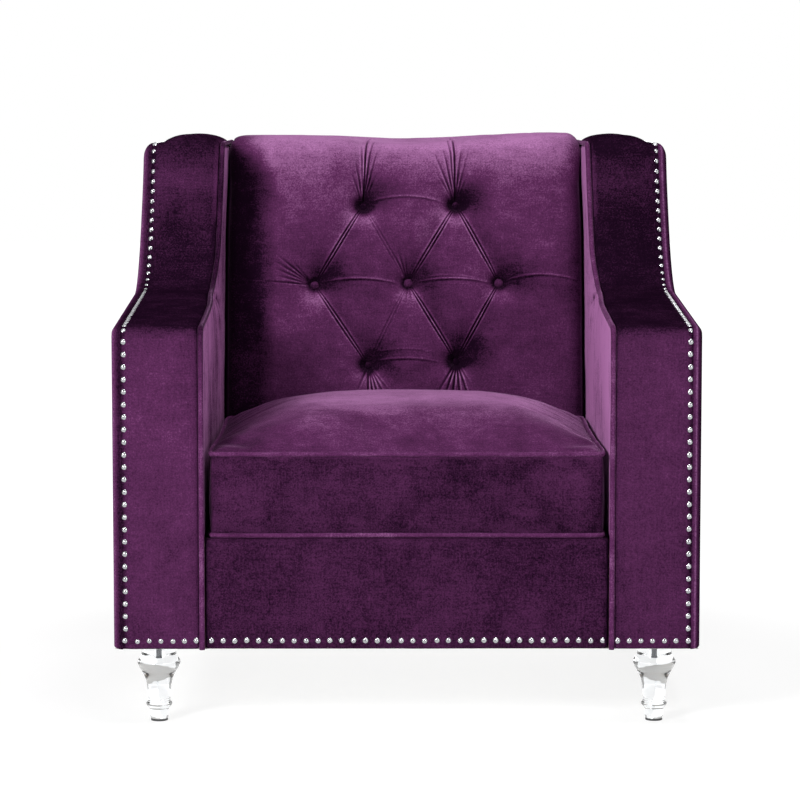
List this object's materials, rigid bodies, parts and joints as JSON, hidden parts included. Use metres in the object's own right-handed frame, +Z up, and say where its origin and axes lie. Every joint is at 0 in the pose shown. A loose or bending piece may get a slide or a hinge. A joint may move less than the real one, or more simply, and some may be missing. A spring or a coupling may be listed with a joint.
{
  "type": "tufted club chair",
  "caption": "Upholstered club chair with square arms sweeping up into wings, button-tufted back, loose seat cushion, nailhead trim and clear turned legs.",
  "frame": {"origin": "on the floor under the middle of the chair's box", "axes": "+X to the right seen from the front, +Y towards the back of the chair, +Z up; the chair faces -Y"},
  "size_m": [0.85, 0.8093, 0.849],
  "materials": {
    "velvet": "matte",
    "padding": "matte",
    "zinc_steel": "satin",
    "spring_steel": "satin",
    "nail_chrome": "polished",
    "zipper_metal": "satin",
    "clear_acrylic": "polished",
    "glide_nylon": "matte",
    "burlap": "matte",
    "black_cloth": "matte",
    "lining_cloth": "matte",
    "plywood": "matte",
    "hardwood": "matte"
  },
  "bodies": {
    "chair": {"front_rail": "hardwood", "seat_rear_rail": "hardwood", "back_rail": "hardwood", "back_top_rail": "hardwood", "back_lower_rail": "hardwood", "left_inner_board": "plywood", "right_inner_board": "plywood", "left_outer_board": "plywood", "right_outer_board": "plywood", "left_arm_spacers": "hardwood", "right_arm_spacers": "hardwood", "back_posts": "hardwood", "leg_blocks": "hardwood", "corner_blocks": "hardwood", "frame_screws": "zinc_steel", "tee_nuts": "zinc_steel", "hanger_bolts": "zinc_steel", "seat_springs": "spring_steel", "spring_clips": "zinc_steel", "tie_wires": "spring_steel", "deck_burlap": "burlap", "deck_pad": "padding", "deck_cover": "velvet", "back_webbing": "black_cloth", "back_scrim": "burlap", "back_pad": "padding", "back_cover": "velvet", "tuft_buttons": "velvet", "button_twines": "burlap", "twine_washers": "zinc_steel", "outside_back_cover": "velvet", "left_arm_pad": "padding", "right_arm_pad": "padding", "left_inside_cover": "velvet", "right_inside_cover": "velvet", "left_arm_band": "velvet", "right_arm_band": "velvet", "left_side_cover": "velvet", "right_side_cover": "velvet", "left_arm_welt": "velvet", "right_arm_welt": "velvet", "left_nailheads": "nail_chrome", "right_nailheads": "nail_chrome", "apron_nailheads": "nail_chrome", "apron_pad": "padding", "apron_cover": "velvet", "dust_cloth": "lining_cloth", "front_left_leg": "clear_acrylic", "front_right_leg": "clear_acrylic", "rear_left_leg": "clear_acrylic", "rear_right_leg": "clear_acrylic", "foot_glides": "glide_nylon"},
    "seat_cushion": {"cushion_core": "padding", "cushion_top_panel": "velvet", "cushion_boxing": "velvet", "cushion_bottom_panel": "velvet", "cushion_welts": "velvet", "zipper_chain": "zipper_metal"},
    "zipper_slider": {"zipper_slider": "zipper_metal"}
  },
  "joints": [
    {"name": "cushion_lift", "type": "slide", "parent": "chair", "child": "seat_cushion", "axis": [0, 0, 1], "range_m": [0, 0.38]},
    {"name": "zipper_travel", "type": "slide", "parent": "seat_cushion", "child": "zipper_slider", "axis": [1, 0, 0], "range_m": [0, 0.36]}
  ]
}
